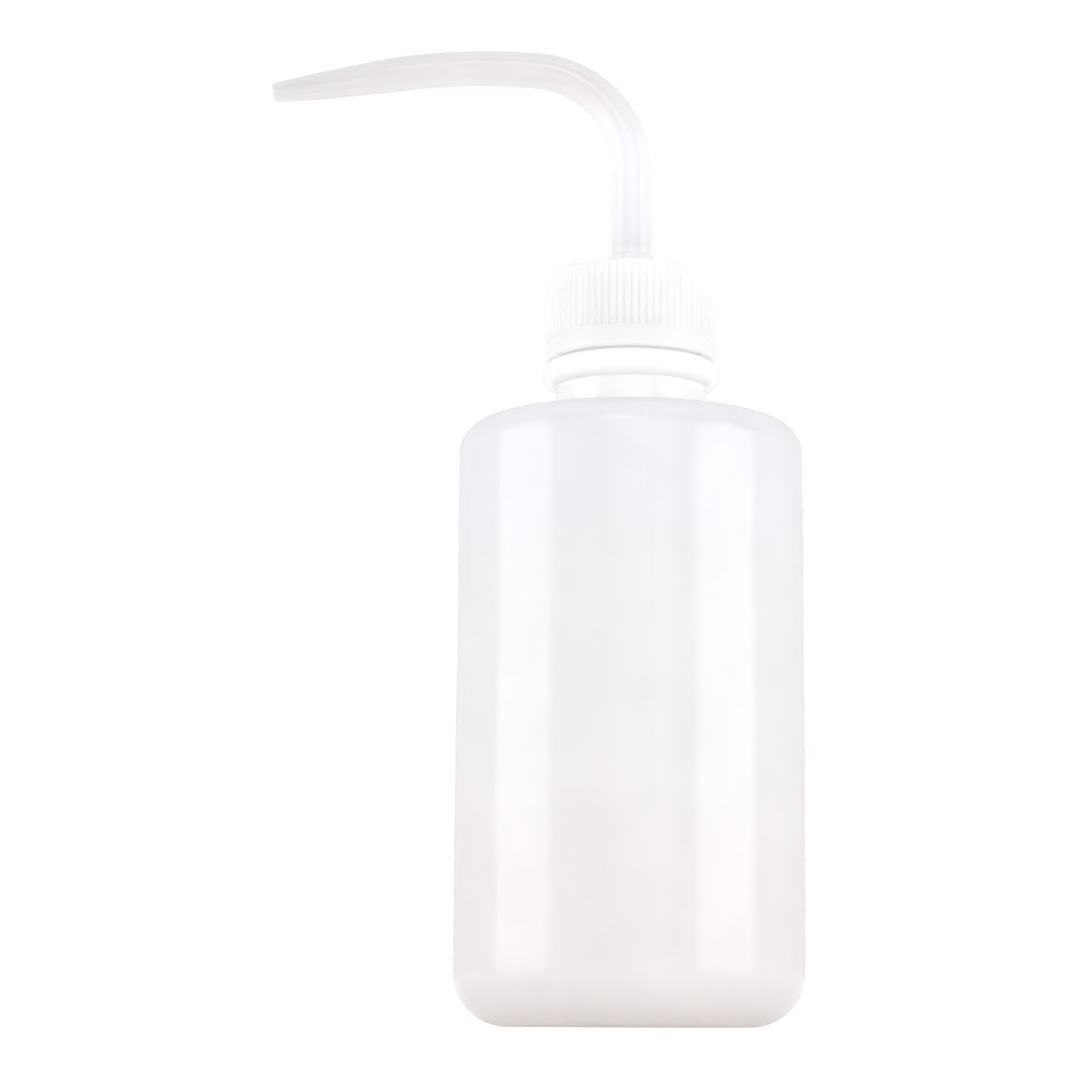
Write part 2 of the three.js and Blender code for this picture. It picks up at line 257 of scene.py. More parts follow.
def surface(name, outline, angles, relief=None, bend=None, closed=True):
    """A turned body in metres. outline is (radius, height) in mm, up the outside and down the inside;
    relief(r, z, angle) returns the radius and height with ribs or threads; bend moves the points; closed
    joins the last row to the first."""
    outline = np.array(outline, float)
    angles = np.asarray(angles, float)
    count = len(angles)
    r = np.repeat(outline[:, :1], count, axis=1)
    z = np.repeat(outline[:, 1:], count, axis=1)
    t = np.repeat(angles[None, :], len(outline), axis=0)
    if relief:
        r, z = relief(r, z, t)
    points = np.stack([r * np.cos(t), r * np.sin(t), z], axis=2)
    if bend:
        points = bend(points)
    rows = []
    vertices = []
    for i, row in enumerate(points):
        on_axis = outline[i, 0] < SAME
        rows.append((len(vertices), on_axis))
        vertices += [tuple(row[0] * MM)] if on_axis else [tuple(p * MM) for p in row]
    pairs = list(zip(rows, rows[1:]))
    if closed:
        pairs.append((rows[-1], rows[0]))
    faces = [face for low, high in pairs for face in row_faces(low, high, count)]
    return mesh_object(name, vertices, faces)


def even_angles(count):
    return np.arange(count) * FULL_TURN / count


def wrapped(angle, centre):
    """The angle from centre, between minus and plus half a turn."""
    return np.mod(angle - centre + math.pi, FULL_TURN) - math.pi


def smooth_step(x):
    x = np.clip(x, 0, 1)
    return x * x * (3 - 2 * x)


def plateau(x, low, high, edge):
    """1 between low and high, falling to 0 over a short edge at each end."""
    return np.clip((x - low) / edge + 1, 0, 1) * np.clip((high - x) / edge + 1, 0, 1)


def thread_height(z, angle, start_z, crest):
    """How far a helical ridge stands off its wall at each point: 0 off the ridge, crest on its flat."""
    height = np.zeros_like(z)
    for turn in range(math.ceil(THREAD_TURNS) + 1):
        share = (np.mod(angle, FULL_TURN) / FULL_TURN + turn) / THREAD_TURNS
        centre = start_z + share * THREAD_TURNS * THREAD_PITCH
        off = np.abs(z - centre)
        flank = smooth_step((THREAD_ROOT_HALF - off) / (THREAD_ROOT_HALF - THREAD_CREST_HALF))
        run = smooth_step(np.minimum(share, 1 - share) / THREAD_RUN_OUT)
        height = np.maximum(height, np.where((share >= 0) & (share <= 1), crest * flank * run, 0))
    return height


# ---------------------------------------------------------------- bottle

def shoulder_arcs(offset):
    """The rounded shoulder, moved inwards by offset."""
    centre_r = BODY_R - SHOULDER_R
    turn = math.radians(SHOULDER_TURN)
    upper_r = centre_r + (SHOULDER_R - SHOULDER_R_UPPER) * math.cos(turn)
    upper_z = WALL_TOP_Z + (SHOULDER_R - SHOULDER_R_UPPER) * math.sin(turn)
    lower = arc(centre_r, WALL_TOP_Z, SHOULDER_R - offset, 0, SHOULDER_TURN, 14)
    upper = arc(upper_r, upper_z, SHOULDER_R_UPPER - offset, SHOULDER_TURN, SHOULDER_END, 3)
    return lower + upper[1:]


def cone_fillet(shoulder, r, radius):
    """The fillet between the cone that leaves the shoulder's end and an upright wall of radius r."""
    slope = math.radians(90 - SHOULDER_END)
    centre_r = r + radius
    tangent_r = centre_r - radius * math.sin(slope)
    cone_z = shoulder[-1][1] + (shoulder[-1][0] - tangent_r) * math.tan(slope)
    return arc(centre_r, cone_z + radius * math.cos(slope), radius, 180 + SHOULDER_END, 180, 6)


def bottle_outside():
    corner_r = BODY_R - BASE_CORNER_R
    shoulder = shoulder_arcs(0)
    neck = cone_fillet(shoulder, NECK_R, NECK_FILLET)
    bead_foot = BEAD_Z - BEAD_R - BEAD_FILLET
    bead_top = BEAD_Z + BEAD_R
    points = [(0, 0)]
    points += refined([(1.0, 0), (corner_r, 0)], BASE_STEP)[:-1]
    points += arc(corner_r, BASE_CORNER_R, BASE_CORNER_R, -90, 0, 22)
    points = points[:-1] + refined([points[-1], shoulder[0]], BODY_STEP)[:-1] + shoulder
    points = points[:-1] + refined([points[-1], neck[0]], CONE_STEP)[:-1] + neck
    points += [(NECK_R, bead_foot - 0.1)]
    points += arc(NECK_R + BEAD_FILLET, bead_foot, BEAD_FILLET, 180, 90, 3)[1:]
    points += arc(BEAD_CENTRE_R, BEAD_Z, BEAD_R, -85, 85, 18)
    points += [(FINISH_R + FINISH_FILLET + 0.05, bead_top - 0.02)]
    points += arc(FINISH_R + FINISH_FILLET, bead_top + FINISH_FILLET, FINISH_FILLET, 270, 180, 3)
    points = points[:-1] + refined([points[-1], (FINISH_R, RIM_Z - RIM_ROUND)], FINISH_STEP)
    points += arc(FINISH_R - RIM_ROUND, RIM_Z - RIM_ROUND, RIM_ROUND, 0, 90, 4)[1:]
    return points


def bottle_inside():
    corner_r = BODY_R - BASE_CORNER_R
    shoulder = shoulder_arcs(WALL)
    throat = cone_fillet(shoulder, BORE_R, BORE_FILLET)[::-1]
    floor_corner_z = BASE_CORNER_R - WALL + BASE_WALL
    floor_corner = arc(corner_r, floor_corner_z, BASE_CORNER_R - WALL, 0, -90, 14)
    points = arc(BORE_R + RIM_ROUND, RIM_Z - RIM_ROUND, RIM_ROUND, 90, 180, 4)
    points += refined([points[-1], throat[0]], INSIDE_STEP)[1:-1] + throat
    points += refined([throat[-1], shoulder[-1]], INSIDE_STEP)[1:-1] + shoulder[::-1]
    points += refined([points[-1], floor_corner[0]], INSIDE_STEP)[1:-1] + floor_corner
    points += refined([floor_corner[-1], (1.0, BASE_WALL)], FLOOR_STEP)[1:] + [(0, BASE_WALL)]
    return points


def mark_heights():
    return [SCALE_FIRST_Z + i * SCALE_STEP for i in range(SCALE_MARKS)]


def with_mark_rows(outline):
    """The outline with rows on its straight wall where the scale's marks have an edge, and none too close."""
    rows = []
    for z in mark_heights():
        rows += [z - MARK_HALF - MARK_EDGE, z - MARK_HALF, z + MARK_HALF, z + MARK_HALF + MARK_EDGE]
    on_wall = [p for p in outline if abs(p[0] - BODY_R) < SAME and p[1] < WALL_TOP_Z - 1]
    kept = [p for p in on_wall if min(abs(p[1] - row) for row in rows) > MARK_ROW_GAP]
    wall = sorted(kept + [(BODY_R, row) for row in rows], key=lambda p: p[1])
    first = outline.index(on_wall[0])
    last = outline.index(on_wall[-1])
    return outline[:first] + wall + outline[last + 1:]


def bottle_angles():
    """Even angles, with extra ones at the edges of the parting lines and of the scale in place of any even
    one that is very near them."""
    fine = []
    across = (-PARTING_FOOT, -1.0, -0.4, 0.4, 1.0, PARTING_FOOT)
    for centre in (PARTING_ANGLE, PARTING_ANGLE + math.pi):
        fine += [centre + share * PARTING_HALF / BODY_R for share in across]
    for stop in (-2 * LINE_ANGLE, -LINE_ANGLE, LINE_ANGLE, SHORT_MARK_ANGLE, LONG_MARK_ANGLE):
        fine += [stop - LINE_EDGE, stop, stop + LINE_EDGE]
    fine = np.mod(np.array(fine), FULL_TURN)
    even = even_angles(BOTTLE_ROUND)
    gaps = np.abs(wrapped(even[:, None], fine[None, :])).min(axis=1)
    return np.sort(np.concatenate([even[gaps > 0.3 * FULL_TURN / BOTTLE_ROUND], fine]))


def wall_wave(r, z, t):
    """Uneven cooling: the blown wall is very slightly wavy."""
    wave = sum(high * np.sin(around * t + along * z + start) for high, around, along, start in WALL_WAVES)
    wavy = smooth_step((z - WALL_WAVE_LOW) / WALL_WAVE_FADE)
    wavy = wavy * smooth_step((WALL_WAVE_HIGH - z) / WALL_WAVE_FADE)
    return np.where(np.abs(r - BODY_R) < 2 * WALL, wave * wavy, 0)


def scale_relief(z, t):
    """The scale's upright line and its marks, short and long by turns."""
    heights = mark_heights()
    around = wrapped(t, 0)
    at_line = plateau(around, -LINE_ANGLE, LINE_ANGLE, LINE_EDGE)
    raised = LINE_PROUD * at_line * plateau(z, heights[0], heights[-1], MARK_EDGE)
    for i, mark_z in enumerate(heights):
        reach = LONG_MARK_ANGLE if i % 2 else SHORT_MARK_ANGLE
        across = plateau(around, -2 * LINE_ANGLE, reach, LINE_EDGE)
        up = plateau(z, mark_z - MARK_HALF, mark_z + MARK_HALF, MARK_EDGE)
        raised = np.maximum(raised, MARK_PROUD * across * up)
    return raised


def parting_relief(z, t):
    """The line that the two mould halves leave, opposite each other."""
    raised = np.zeros_like(z)
    for centre in (PARTING_ANGLE, PARTING_ANGLE + math.pi):
        across = np.clip(1 - (wrapped(t, centre) * BODY_R / PARTING_HALF / PARTING_FOOT) ** 2, 0, 1)
        raised = np.maximum(raised, PARTING_PROUD * across * (z < BEAD_Z + BEAD_R) * (z > PARTING_LOW_Z))
    return raised


def underside_height(r, t):
    """The underside is pushed up inside its standing ring, with the pinched seam across it."""
    push = BASE_RECESS * smooth_step((BASE_RECESS_R - r) / BASE_RECESS_EDGE)
    scar = np.exp(-((r * np.sin(t - PARTING_ANGLE)) / BASE_SCAR_HALF) ** 2)
    return push - BASE_SCAR_DEPTH * scar * smooth_step((BASE_SCAR_REACH - r) / BASE_SCAR_FADE)


def bottle_piece():
    outside = with_mark_rows(bottle_outside())

    def relief(r, z, t):
        is_outer = np.zeros_like(r, bool)
        is_outer[:len(outside)] = True
        # The outside, except the threaded finish and the middle of the underside
        moulded = is_outer & (r > NECK_R - 0.1)
        raised = np.where(moulded, np.maximum(scale_relief(z, t), parting_relief(z, t)), 0)
        on_finish = is_outer & (np.abs(r - FINISH_R) < SAME)
        thread = np.where(on_finish, thread_height(z, t, NECK_THREAD_Z, NECK_CREST_R - FINISH_R), 0)
        under = is_outer & (z < SAME)
        return r + wall_wave(r, z, t) + raised + thread, np.where(under, underside_height(r, t), z)

    return surface("bottle_shell", outside + bottle_inside(), bottle_angles(), relief, closed=False)


# ---------------------------------------------------------------- cap

def cap_outline():
    corner_r = CAP_R - CAP_CORNER_R
    hole_edge_r = CAP_HOLE_R + 0.2
    points = arc(CAP_BAND_R - CAP_BAND_ROUND, CAP_BOTTOM_Z + CAP_BAND_ROUND, CAP_BAND_ROUND, -90, 0, 7)
    points += [(CAP_BAND_R, CAP_BAND_TOP_Z - CAP_BAND_CORNER)]
    band_corner = (CAP_BAND_R - CAP_BAND_CORNER, CAP_BAND_TOP_Z - CAP_BAND_CORNER)
    points += arc(*band_corner, CAP_BAND_CORNER, 0, 80, 3)[1:]
    points += [(CAP_R, CAP_BAND_TOP_Z + 0.15)]
    points += refined([points[-1], (CAP_R, CAP_TOP_Z - CAP_CORNER_R)], CAP_WALL_STEP)[1:]
    points += arc(corner_r, CAP_TOP_Z - CAP_CORNER_R, CAP_CORNER_R, 0, 88, 9)[1:]
    points += [(corner_r - 0.1, CAP_TOP_Z)]
    for share in np.linspace(0.08, 1, 10):
        crown_z = CAP_TOP_Z + CAP_CROWN * math.sin(share * math.pi / 2)
        points.append((corner_r + (hole_edge_r - corner_r) * share, crown_z))
    points += [(CAP_HOLE_R, CAP_TOP_Z + CAP_CROWN - 0.2), (CAP_HOLE_R, CAP_CEILING_Z + 0.1)]
    points += [(CAP_HOLE_R + 0.1, CAP_CEILING_Z)]
    points += refined([points[-1], (CAP_BORE_R - 0.3, CAP_CEILING_Z)], CAP_CEILING_STEP)[1:]
    points += arc(CAP_BORE_R - 0.3, CAP_CEILING_Z - 0.3, 0.3, 90, 0, 3)[1:]
    points += refined([points[-1], (CAP_BORE_R, CAP_BOTTOM_Z + 0.4)], CAP_THREAD_STEP)[1:]
    return points + [(CAP_BORE_R + 0.3, CAP_BOTTOM_Z)]


def cap_piece():
    grooves_z = CAP_BAND_TOP_Z + GROOVE_FOOT

    def relief(r, z, t):
        outside = (r > CAP_BORE_R + 0.35) & (z > CAP_BAND_TOP_Z + 0.1)
        groove = smooth_step((np.cos(RIBS * t) - GROOVE_FROM) / (GROOVE_TO - GROOVE_FROM))
        groove *= smooth_step((z - grooves_z) / GROOVE_RUN_IN)
        groove *= smooth_step((r - (CAP_R - GROOVE_REACH)) / GROOVE_TOP_FADE)
        on_bore = (np.abs(r - CAP_BORE_R) < SAME) & (z < CAP_CEILING_Z - 0.25)
        ridge = thread_height(z, t, NECK_THREAD_Z - THREAD_BELOW, CAP_BORE_R - CAP_CREST_R)
        return r - np.where(outside, GROOVE_DEPTH * groove, 0) - np.where(on_bore, ridge, 0), z

    return surface("ribbed_cap", cap_outline(), even_angles(CAP_ROUND), relief)


# ---------------------------------------------------------------- seal plug

def plug_piece():
    skirt_r = BORE_R - FIT_GAP
    skirt_bore_r = skirt_r - PLUG_SKIRT_WALL
    flange_z = RIM_Z + FIT_GAP
    top_z = plug_high[2]
    flange_r = plug_high[0]
    recess_r = SPOUT_FLANGE_R + FIT_GAP
    sleeve_bore_r = COLLAR_R + FIT_GAP
    sleeve_r = sleeve_bore_r + PLUG_SLEEVE_WALL
    floor_z = top_z - SPOUT_FLANGE_T - FIT_GAP
    bottom_z = plug_low[2]
    sleeve_z = bottom_z + 0.5
    edge = PLUG_EDGE
    points = arc(skirt_r - 0.6, bottom_z + 0.3, 0.3, -90, -20, 3)
    points += [(skirt_r, bottom_z + 1.2), (skirt_r, flange_z - 0.4)]
    points += arc(skirt_r + 0.3, flange_z - 0.3, 0.3, 180, 90, 3)
    points += arc(flange_r - edge, flange_z + edge, edge, -90, 0, 3)
    points += arc(flange_r - edge, top_z - edge, edge, 0, 90, 3)
    points += arc(recess_r + edge, top_z - edge, edge, 90, 180, 3)
    points += [(recess_r, floor_z + 0.1), (recess_r - 0.1, floor_z)]
    points += arc(sleeve_bore_r + edge, floor_z - edge, edge, 90, 180, 3)
    points += arc(sleeve_bore_r + edge, sleeve_z + edge, edge, 180, 270, 3)
    points += arc(sleeve_r - edge, sleeve_z + edge, edge, -90, 0, 3)
    points += arc(sleeve_r + 0.4, flange_z - 0.4, 0.4, 180, 90, 3)
    points += arc(skirt_bore_r - 0.4, flange_z - 0.4, 0.4, 90, 0, 3)
    points += [(skirt_bore_r, bottom_z + 0.2)]
    return surface("plug_body", points, even_angles(PLUG_ROUND))


# ---------------------------------------------------------------- spout and dip tube

BEND_LENGTH = math.radians(SPOUT_BEND_TURN) * SPOUT_BEND_R
DROOP_LENGTH = math.radians(SPOUT_DROOP_TURN) * SPOUT_DROOP_R
BEND_START = SPOUT_BEND_Z - SPOUT_BOTTOM_Z
BEND_END = BEND_START + BEND_LENGTH
NOSE_START = BEND_END + DROOP_LENGTH
SPOUT_LENGTH = NOSE_START + SPOUT_NOSE

# Length along the spout, outer radius, bore radius
SPOUT_TAPER = np.array([
    (0, 3.6, 1.95),
    (BEND_START, 3.6, 1.95),
    (BEND_END, 3.22, 1.8),
    (NOSE_START, 3.14, 1.6),
    (SPOUT_LENGTH - 0.45 * SPOUT_NOSE, 2.55, 1.25),
    (SPOUT_LENGTH, 1.75, 0.85),
])


def spout_line(s):
    """Centre line of the spout in the XZ plane: x, z and the lean towards -X, for an array of lengths."""
    lean = np.radians(SPOUT_BEND_TURN) * np.clip((s - BEND_START) / BEND_LENGTH, 0, 1)
    x = -SPOUT_BEND_R * (1 - np.cos(lean))
    z = SPOUT_BOTTOM_Z + np.clip(s, None, BEND_START) + SPOUT_BEND_R * np.sin(lean)
    droop = np.radians(SPOUT_DROOP_TURN) * np.clip((s - BEND_END) / DROOP_LENGTH, 0, 1)
    x = x - SPOUT_DROOP_R * (np.cos(lean) - np.cos(lean + droop))
    z = z + SPOUT_DROOP_R * (np.sin(lean + droop) - np.sin(lean))
    lean = lean + droop
    nose = np.clip(s - NOSE_START, 0, None)
    return x - nose * np.sin(lean), z + nose * np.cos(lean), lean


def outer_radius(s):
    return float(np.interp(s, SPOUT_TAPER[:, 0], SPOUT_TAPER[:, 1]))


def bore_radius(s):
    return float(np.interp(s, SPOUT_TAPER[:, 0], SPOUT_TAPER[:, 2]))


def spout_outline():
    """Radius against length along the spout, from its lower end to its tip and back down the bore."""
    flange_top = CAP_CEILING_Z - FIT_GAP - SPOUT_BOTTOM_Z
    flange_under = flange_top - SPOUT_FLANGE_T
    collar_top = COLLAR_TOP_Z - SPOUT_BOTTOM_Z
    socket_top = SOCKET_TOP_Z - SPOUT_BOTTOM_Z
    stations = list(np.arange(collar_top + 1.0, SPOUT_LENGTH - NOSE_ROUND, SPOUT_STEP))
    shaft_r = outer_radius(collar_top)
    tip_r = outer_radius(SPOUT_LENGTH) - NOSE_ROUND
    tip_bore_r = bore_radius(SPOUT_LENGTH) + NOSE_BORE_ROUND
    points = arc(COLLAR_R - 0.3, 0.3, 0.3, -90, 0, 3)
    points += [(COLLAR_R, flange_under - 0.2)]
    points += arc(COLLAR_R + 0.2, flange_under - 0.2, 0.2, 180, 90, 2)
    points += arc(SPOUT_FLANGE_R - SPOUT_EDGE, flange_under + SPOUT_EDGE, SPOUT_EDGE, -90, 0, 2)
    points += arc(SPOUT_FLANGE_R - SPOUT_EDGE, flange_top - SPOUT_EDGE, SPOUT_EDGE, 0, 90, 2)
    points += arc(COLLAR_R + 0.3, flange_top + 0.3, 0.3, 270, 180, 3)
    points += [(COLLAR_R, collar_top - 0.45)]
    points += arc(COLLAR_R - 0.3, collar_top - 0.45, 0.3, 0, 70, 4)[1:]
    points += [(shaft_r + 0.08, collar_top + 0.1), (shaft_r, collar_top + 0.5)]
    points += [(outer_radius(s), s) for s in stations]
    points += arc(tip_r, SPOUT_LENGTH - NOSE_ROUND, NOSE_ROUND, 0, 90, 4)
    points += arc(tip_bore_r, SPOUT_LENGTH - NOSE_BORE_ROUND, NOSE_BORE_ROUND, 90, 180, 3)
    points += [(bore_radius(s), s) for s in stations[::-2]]
    points += [(bore_radius(socket_top), socket_top + 0.1), (bore_radius(0) + 0.1, socket_top)]
    return points + [(SOCKET_R, socket_top), (SOCKET_R, 0.6), (SOCKET_R + 0.3, 0.0)]


def spout_piece():
    def bend(points):
        x, z, lean = spout_line(points[:, :, 2])
        across = points[:, :, 0]
        return np.stack([x + across * np.cos(lean), points[:, :, 1], z + across * np.sin(lean)], axis=2)

    return surface("bent_spout", spout_outline(), even_angles(SPOUT_ROUND), bend=bend)


def tube_piece():
    radius = tube_high[0]
    bottom = tube_low[2]
    top = tube_high[2]
    edge = TUBE_EDGE
    points = refined([(radius, bottom + edge), (radius, top - edge)], TUBE_STEP)
    points += [(radius - edge, top), (TUBE_BORE_R + edge, top), (TUBE_BORE_R, top - edge)]
    points += refined([(TUBE_BORE_R, top - edge), (TUBE_BORE_R, bottom + edge)], TUBE_STEP)[1:]
    points += [(TUBE_BORE_R + edge, bottom), (radius - edge, bottom)]

    def bend(places):
        # The lower end is cut on a slant, higher towards -X
        near_foot = np.clip(1 - (places[:, :, 2] - bottom) / TUBE_FOOT_HEIGHT, 0, 1)
        moved = places.copy()
        moved[:, :, 2] += (radius - places[:, :, 0]) * math.tan(math.radians(TUBE_FOOT_SLANT)) * near_foot
        return moved

    return surface("straw", points, even_angles(TUBE_ROUND), bend=bend)


# ---------------------------------------------------------------- scale numbers

def flat_text(text):
    """A raised, flat piece of text as mesh data, in mm, standing on the XY plane."""
    curve = bpy.data.curves.new("label", "FONT")
    curve.body = text
    curve.size = LABEL_SIZE
    curve.extrude = LABEL_THICK
    curve.offset = LABEL_THINNING
    curve.bevel_depth = LABEL_BEVEL
    curve.bevel_resolution = 1
    curve.resolution_u = 5
    curve.align_y = "CENTER"
    label = bpy.data.objects.new("label", curve)
    bpy.context.scene.collection.objects.link(label)
    bpy.context.view_layer.update()
    mesh = bpy.data.meshes.new_from_object(label.evaluated_get(bpy.context.evaluated_depsgraph_get()))
    places = [tuple(v.co) for v in mesh.vertices]
    faces = [tuple(p.vertices) for p in mesh.polygons]
    bpy.data.objects.remove(label)
    bpy.data.curves.remove(curve)
    bpy.data.meshes.remove(mesh)
    return places, faces


def scale_numbers():
    """Raised numbers beside the long marks, and the unit above them, wrapped onto the wall as one mesh."""
    heights = mark_heights()
    labels = [(str(SCALE_VOLUME * (i + 1)), z) for i, z in enumerate(heights[1::2])]
    labels.append(("ml", heights[-1] + SCALE_STEP))
    vertices = []
    faces = []
    for text, label_z in labels:
        places, text_faces = flat_text(text)
        first = len(vertices)
        for x, y, height in places:
            angle = LABEL_ANGLE + x / BODY_R
            r = BODY_R - LABEL_BEVEL + height
            vertices.append((r * math.cos(angle) * MM, r * math.sin(angle) * MM, (label_z + y) * MM))
        faces += [tuple(first + i for i in face) for face in text_faces]
    return mesh_object("scale_numbers", vertices, faces)


# ---------------------------------------------------------------- materials

PLASTIC_IOR = 1.6
CLOUD_SCALE = 95
SCUFF_SCALE = 420
GRAIN_SCALE = 1900
GRAIN_DEPTH = 0.0002
NOISE_RANGE = (0.3, 0.7)
SCUFF_STRETCH = (1, 1, 0.12)

# Base band: darker and warmer, partly for the thicker plastic, partly painted shade on the downward-facing
# corner
THICK_BASE_AND_SHADE = (0.82, 0.795, 0.79)
WALL_LOW = (0.897, 0.881, 0.881)
WALL_MID = (0.892, 0.880, 0.889)
WALL_TOP = (0.887, 0.880, 0.899)
# Neck white: partly thicker plastic, partly painted light that brightens the enclosed, shaded neck and bead
NECK_WHITE_AND_LIGHT = (0.976, 0.967, 0.97)
CAP_WHITE = (0.97, 0.961, 0.964)
SPOUT_FOOT = (0.885, 0.877, 0.898)
SPOUT_WHITE = (0.815, 0.798, 0.802)
TUBE_WHITE = (0.93, 0.92, 0.92)


def noise(nodes, links, coords, scale, detail, stretch=(1, 1, 1)):
    """A noise pattern in the piece's own coordinates, finer along an axis with a larger stretch."""
    mapping = nodes.new("ShaderNodeMapping")
    mapping.inputs["Scale"].default_value = stretch
    links.new(coords.outputs["Object"], mapping.inputs["Vector"])
    pattern = nodes.new("ShaderNodeTexNoise")
    pattern.inputs["Scale"].default_value = scale
    pattern.inputs["Detail"].default_value = detail
    links.new(mapping.outputs["Vector"], pattern.inputs["Vector"])
    return pattern.outputs["Fac"]


def mapped(nodes, links, value, from_range, to_range):
    node = nodes.new("ShaderNodeMapRange")
    node.inputs["From Min"].default_value, node.inputs["From Max"].default_value = from_range
    node.inputs["To Min"].default_value, node.inputs["To Max"].default_value = to_range
    links.new(value, node.inputs["Value"])
    return node.outputs["Result"]


def by_height(nodes, links, height, stops):
    """A colour that changes with height: stops are (height in mm, colour), lowest first."""
    top = stops[-1][0]
    share = mapped(nodes, links, height, (0, top * MM), (0, 1))
    ramp = nodes.new("ShaderNodeValToRGB")
    ramp.color_ramp.interpolation = "EASE"
    while len(ramp.color_ramp.elements) < len(stops):
        ramp.color_ramp.elements.new(0.5)
    for element, (stop, colour) in zip(ramp.color_ramp.elements, stops):
        element.position = stop / top
        element.color = (*colour, 1)
    links.new(share, ramp.inputs["Fac"])
    return ramp.outputs["Color"]


def times(nodes, links, value, position, change):
    """value times a factor that goes from 1 to change[2] as position goes from change[0] to change[1] mm."""
    factor = mapped(nodes, links, position, (change[0] * MM, change[1] * MM), (1, change[2]))
    product = nodes.new("ShaderNodeMath")
    product.operation = "MULTIPLY"
    links.new(value, product.inputs[0])
    links.new(factor, product.inputs[1])
    return product.outputs["Value"]


def axis_distance(nodes, links, separate):
    """The distance from the piece's own Z axis."""
    level = nodes.new("ShaderNodeCombineXYZ")
    links.new(separate.outputs["X"], level.inputs["X"])
    links.new(separate.outputs["Y"], level.inputs["Y"])
    reach = nodes.new("ShaderNodeVectorMath")
    reach.operation = "LENGTH"
    links.new(level.outputs["Vector"], reach.inputs[0])
    return reach.outputs["Value"]


def milky(name, stops, roughness=0.14, gloss=1.0, clear=0.12, glow=0.55, cloud=0.015, grain=0.05,
          thick=None, shade_along_x=None, proud_and_highlight=None):
    """Natural polyethylene: a satin surface over a cloudy body that passes light. thick is (height, height,
    share): between the two heights the light passed falls to that share. shade_along_x is the same along X
    for the colour, painted shade that darkens it; proud_and_highlight the same by distance from the axis,
    whitening moulded marks, partly for their thicker plastic and partly as a painted highlight."""
    material = bpy.data.materials.new(name)
    material.use_nodes = True
    nodes = material.node_tree.nodes
    links = material.node_tree.links
    nodes.clear()
    output = nodes.new("ShaderNodeOutputMaterial")
    coords = nodes.new("ShaderNodeTexCoord")
    separate = nodes.new("ShaderNodeSeparateXYZ")
    links.new(coords.outputs["Object"], separate.inputs["Vector"])

    tint = nodes.new("ShaderNodeHueSaturation")
    clouds = noise(nodes, links, coords, CLOUD_SCALE, 3)
    value = mapped(nodes, links, clouds, NOISE_RANGE, (1 - cloud, 1 + cloud))
    # Painted shade: the colour darkens along X
    if shade_along_x:
        value = times(nodes, links, value, separate.outputs["X"], shade_along_x)
    # Raised marks made whiter: partly thicker plastic, partly painted highlight
    if proud_and_highlight:
        value = times(nodes, links, value, axis_distance(nodes, links, separate), proud_and_highlight)
    links.new(value, tint.inputs["Value"])
    links.new(by_height(nodes, links, separate.outputs["Z"], stops), tint.inputs["Color"])
    shade = tint.outputs["Color"]

    scuffs = noise(nodes, links, coords, SCUFF_SCALE, 4, SCUFF_STRETCH)
    rough = mapped(nodes, links, scuffs, NOISE_RANGE, (roughness - 0.03, roughness + 0.06))
    bump = nodes.new("ShaderNodeBump")
    bump.inputs["Strength"].default_value = grain
    bump.inputs["Distance"].default_value = GRAIN_DEPTH
    links.new(noise(nodes, links, coords, GRAIN_SCALE, 2), bump.inputs["Height"])

    skin = nodes.new("ShaderNodeBsdfPrincipled")
    skin.inputs["IOR"].default_value = PLASTIC_IOR
    skin.inputs["Specular IOR Level"].default_value = gloss
    links.new(shade, skin.inputs["Base Color"])
    links.new(rough, skin.inputs["Roughness"])
    links.new(bump.outputs["Normal"], skin.inputs["Normal"])
    passing = nodes.new("ShaderNodeBsdfTranslucent")
    links.new(shade, passing.inputs["Color"])
    body = nodes.new("ShaderNodeMixShader")
    body.inputs["Fac"].default_value = glow
    links.new(skin.outputs["BSDF"], body.inputs[1])
    links.new(passing.outputs["BSDF"], body.inputs[2])
    seen_through = nodes.new("ShaderNodeBsdfTransparent")
    whole = nodes.new("ShaderNodeMixShader")
    whole.inputs["Fac"].default_value = clear
    links.new(body.outputs["Shader"], whole.inputs[1])
    links.new(seen_through.outputs["BSDF"], whole.inputs[2])
    links.new(whole.outputs["Shader"], output.inputs["Surface"])
    if thick:
        heights = (thick[0] * MM, thick[1] * MM)
        for share, mix in ((glow, body), (clear, whole)):
            passed = mapped(nodes, links, separate.outputs["Z"], heights, (share, share * thick[2]))
            links.new(passed, mix.inputs["Fac"])
    return material


def bottle_material():
    """Greyish on the thin wall. The base is darker and warmer, partly for its thicker plastic and partly as
    painted shade on its downward-facing corner; the neck and the raised marks are whiter, partly for their
    thicker plastic and partly as painted light.
    """
    wall = [(11, WALL_LOW), (50, WALL_MID), (106, WALL_TOP)]
    return milky(
        "bottle_polyethylene",
        [(2, THICK_BASE_AND_SHADE)] + wall + [(111, NECK_WHITE_AND_LIGHT), (130, NECK_WHITE_AND_LIGHT)],
        thick=(106.5, 109, 0.35),
        # Raised marks whiter: partly thicker plastic, partly painted highlight
        proud_and_highlight=(BODY_R + 0.1, BODY_R + 0.26, 1.085),
    )


def cap_material():
    stops = [(118, CAP_WHITE), (135, CAP_WHITE)]
    return milky("cap_polypropylene", stops, roughness=0.36, gloss=0.45, clear=0.09, glow=0.58)


def plug_material():
    return milky("plug_polyethylene", [(124, CAP_WHITE), (133, CAP_WHITE)], clear=0.1, glow=0.5)


